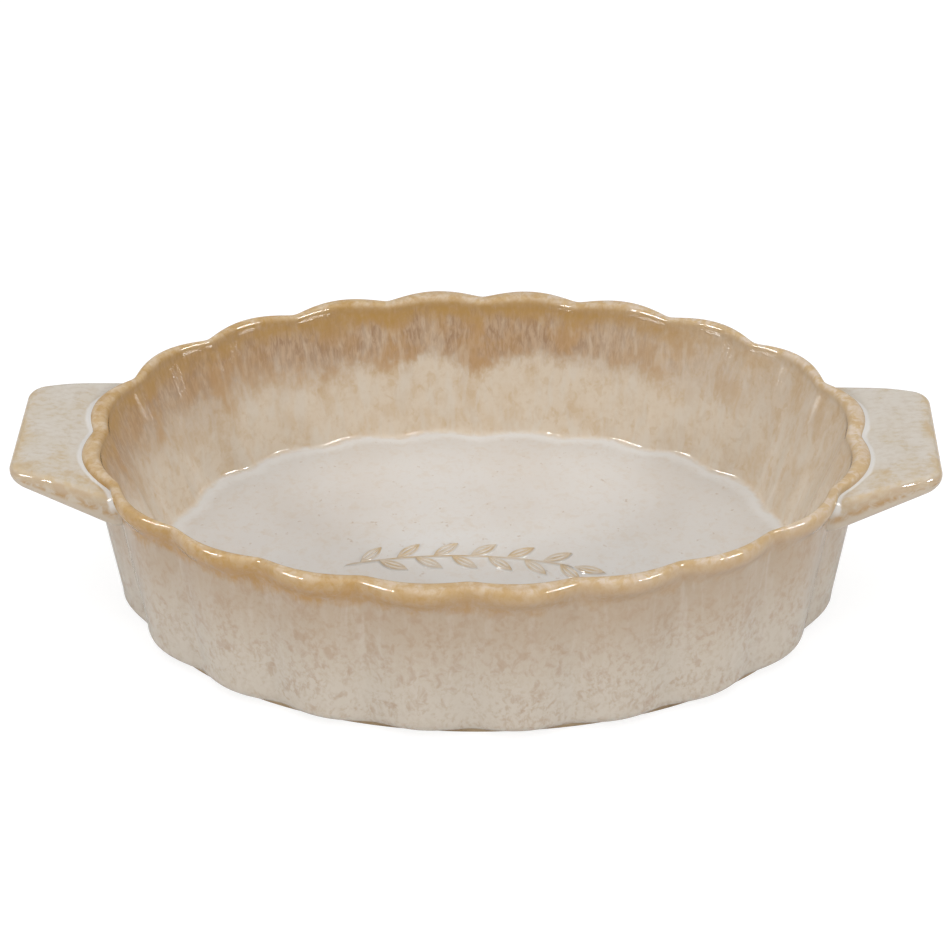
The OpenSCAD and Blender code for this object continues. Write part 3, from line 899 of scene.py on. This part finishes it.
RELIEF_OCHRE = srgb(188, 166, 134)
relief_glaze = Finish("relief_glaze")
relief_height = relief_glaze.node("ShaderNodeSeparateXYZ", {}, {0: relief_glaze.place}, 2)
relief_cloud = relief_glaze.cloud(0.003, detail=3.0)
relief_edge = (relief_height - FLOOR_TOP).rise(0.0003, 0.00085)
relief_share = relief_edge * (0.55 + 0.45 * relief_cloud.rise(0.35, 0.65))
relief_tone = relief_glaze.mix(relief_share, FLOOR_PALE, RELIEF_OCHRE)
glaze_gloss(relief_glaze, relief_tone)
dress(sprig, relief_glaze)
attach(sprig, "root")
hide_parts("floor_sprig")

# The table is a plain pale sheet that shows white to the camera, apart from the dish's own
# soft shadow. It isn't part of the dish.
TABLE_SIZE, SHEET_WHITE, SHEET_GLOW, SHEET_SHADOW = 8, 0.8, 0.8, 0.3
bpy.ops.object.select_all(action="DESELECT")
bpy.ops.mesh.primitive_plane_add(size=TABLE_SIZE)
table = bpy.context.object
table.name = "pale_table"
sheet = Finish("pale_sheet")
sheet.surface.inputs["Base Color"].default_value = (SHEET_WHITE, SHEET_WHITE, SHEET_WHITE, 1)
sheet.surface.inputs["Roughness"].default_value = 1.0
sheet.surface.inputs["Specular IOR Level"].default_value = 0.0
glow = sheet.node("ShaderNodeEmission", {}, {"Color": (1, 1, 1, 1), "Strength": SHEET_GLOW})
dim = sheet.node(
    "ShaderNodeBsdfDiffuse", {}, {"Color": (SHEET_SHADOW, SHEET_SHADOW, SHEET_SHADOW, 1)})
lit = sheet.node("ShaderNodeAddShader", {}, {0: glow, 1: dim})
ray = sheet.node("ShaderNodeLightPath", {}, {}, "Is Camera Ray")
shown = sheet.node("ShaderNodeMixShader", {}, {0: ray, 2: lit})
sheet.tree.links.new(sheet.surface.outputs[0], shown.socket.node.inputs[1])
sheet.feed(sheet.tree.nodes["Material Output"].inputs["Surface"], shown)
dress(table, sheet)

# The room is a white studio with a large soft lamp above and one on each side in front. Beside
# each of these a wide and a narrow panel glint in the glaze, as dashes and dots along the lip.
# A climb and a turn are in degrees, and a radiance of 1 is the white of the room.
ROOM_LIGHT = 0.5
ABOVE_CLIMB, ABOVE_DISTANCE, ABOVE_SIZE, ABOVE_RADIANCE = 89.9, 1.6, 2.0, 1.2
SIDE_CLIMB, SIDE_DISTANCE = 29, 1.4
SOFT_TURN, SOFT_WIDTH, SOFT_DEPTH, SOFT_RADIANCE = 47, 0.68, 0.16, 16
WIDE_TURN, WIDE_WIDTH, NARROW_TURN, NARROW_WIDTH = 57, 0.44, 41, 0.09
GLINT_DEPTH, GLINT_RADIANCE = 0.2, 60
world = bpy.data.worlds.new("white_studio")
bpy.context.scene.world = world
world.use_nodes = True
air = world.node_tree
even = air.nodes["Background"]
even.inputs["Color"].default_value = (1, 1, 1, 1)
even.inputs["Strength"].default_value = ROOM_LIGHT
white = air.nodes.new("ShaderNodeBackground")
white.inputs["Color"].default_value = (1, 1, 1, 1)
white.inputs["Strength"].default_value = 1.0
path = air.nodes.new("ShaderNodeLightPath")
choice = air.nodes.new("ShaderNodeMixShader")
air.links.new(path.outputs["Is Camera Ray"], choice.inputs[0])
air.links.new(even.outputs[0], choice.inputs[1])
air.links.new(white.outputs[0], choice.inputs[2])
air.links.new(choice.outputs[0], air.nodes["World Output"].inputs["Surface"])


def add_lamp(name, turn, climb, distance, width, depth, radiance, glint=False):
    """A lamp at a turn round the dish and a climb above the table, for soft light or a glint."""
    lamp = bpy.data.lights.new(name, "AREA")
    lamp.shape = "RECTANGLE"
    lamp.size, lamp.size_y = width, depth
    lamp.energy = radiance * math.pi * width * depth
    holder = bpy.data.objects.new(name, lamp)
    holder.visible_diffuse, holder.visible_glossy = not glint, glint
    bpy.context.collection.objects.link(holder)
    turn, climb = math.radians(turn), math.radians(climb)
    way = Vector((math.sin(turn) * math.cos(climb), -math.cos(turn) * math.cos(climb),
                  math.sin(climb)))
    holder.location = way * distance
    holder.rotation_mode = "QUATERNION"
    holder.rotation_quaternion = (-way).to_track_quat("-Z", "Y")


add_lamp("soft_above", 0, ABOVE_CLIMB, ABOVE_DISTANCE, ABOVE_SIZE, ABOVE_SIZE, ABOVE_RADIANCE)
for side in (-1, 1):
    add_lamp("soft_side", side * SOFT_TURN, SIDE_CLIMB, SIDE_DISTANCE,
             SOFT_WIDTH, SOFT_DEPTH, SOFT_RADIANCE)
    add_lamp("wide_glint", side * WIDE_TURN, SIDE_CLIMB, SIDE_DISTANCE,
             WIDE_WIDTH, GLINT_DEPTH, GLINT_RADIANCE, glint=True)
    add_lamp("narrow_glint", side * NARROW_TURN, SIDE_CLIMB, SIDE_DISTANCE,
             NARROW_WIDTH, GLINT_DEPTH, GLINT_RADIANCE, glint=True)

# The camera looks from the front and about 33 degrees above, as the photograph does. Its
# sensor's width is in millimetres.
ELEVATION, YAW, ROLL = math.radians(32.908), math.radians(1.2367), math.radians(-0.316)
TARGET = Vector((0.008747, -0.002188, DISH_HEIGHT))
DISTANCE = 1.102
FRAME_PIXELS, FOCAL_PIXELS = 950, 3091.03
CENTRE_RIGHT, CENTRE_DOWN = 25.687, -42.163
SENSOR_WIDTH, VIEW_END = 36, 20
ahead = Vector((-math.sin(YAW) * math.cos(ELEVATION), math.cos(YAW) * math.cos(ELEVATION),
                -math.sin(ELEVATION)))
lens = bpy.data.cameras.new("camera")
lens.sensor_width = SENSOR_WIDTH
lens.lens = FOCAL_PIXELS * SENSOR_WIDTH / FRAME_PIXELS
lens.shift_x = -CENTRE_RIGHT / FRAME_PIXELS
lens.shift_y = CENTRE_DOWN / FRAME_PIXELS
lens.clip_end = VIEW_END
camera = bpy.data.objects.new("camera", lens)
bpy.context.collection.objects.link(camera)
camera.location = TARGET - ahead * DISTANCE
camera.rotation_mode = "QUATERNION"
camera.rotation_quaternion = ahead.to_track_quat("-Z", "Y") @ Quaternion((0, 0, 1), ROLL)
bpy.context.scene.camera = camera
bpy.context.scene.view_settings.view_transform = "Standard"
